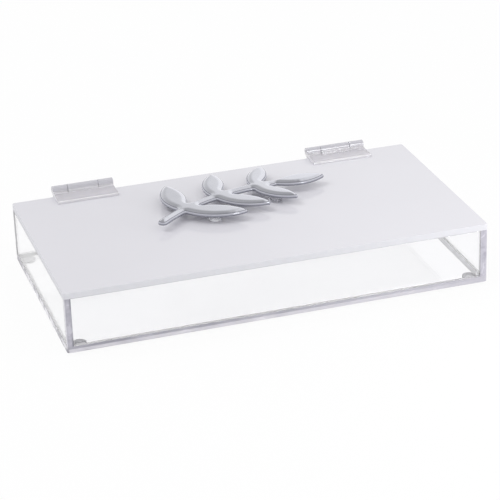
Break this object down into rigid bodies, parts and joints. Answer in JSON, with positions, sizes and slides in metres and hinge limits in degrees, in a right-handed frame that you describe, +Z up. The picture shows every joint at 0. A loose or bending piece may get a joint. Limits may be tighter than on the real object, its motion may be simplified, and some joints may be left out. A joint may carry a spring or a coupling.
{
  "type": "storage box with hinged lid",
  "caption": "Low clear acrylic storage box on feet, with a white hinged lid that swings back and a raised mirrored leaf sprig on top.",
  "frame": {"origin": "on the surface that the feet stand on, in the middle of the whole footprint, hinge barrels included", "axes": "+X to the right along the long side, +Y to the hinged back, +Z up"},
  "size_m": [0.3, 0.1676, 0.0543],
  "materials": {
    "clear_acrylic": "polished",
    "hinge_acrylic": "polished",
    "spacer_acrylic": "polished",
    "white_acrylic": "gloss",
    "mirrored_acrylic": "polished",
    "clear_polyurethane": "gloss"
  },
  "bodies": {
    "box": {"base_panel": "clear_acrylic", "front_wall": "clear_acrylic", "back_wall": "clear_acrylic", "left_wall": "clear_acrylic", "right_wall": "clear_acrylic", "foot_front_left": "clear_polyurethane", "foot_front_right": "clear_polyurethane", "foot_back_left": "clear_polyurethane", "foot_back_right": "clear_polyurethane", "left_hinge_box_leaf": "hinge_acrylic", "left_hinge_pin": "hinge_acrylic", "right_hinge_box_leaf": "hinge_acrylic", "right_hinge_pin": "hinge_acrylic"},
    "lid": {"lid_panel": "white_acrylic", "left_hinge_lid_leaf": "hinge_acrylic", "right_hinge_lid_leaf": "hinge_acrylic", "sprig": "mirrored_acrylic", "spacer_left_back": "spacer_acrylic", "spacer_left_front": "spacer_acrylic", "spacer_right_back": "spacer_acrylic", "spacer_right_front": "spacer_acrylic"}
  },
  "joints": [
    {"name": "lid_hinge", "type": "hinge", "parent": "box", "child": "lid", "pos_m": [0, 0.08075, 0.0493], "axis": [-1, 0, 0], "range_deg": [0, 198]}
  ]
}
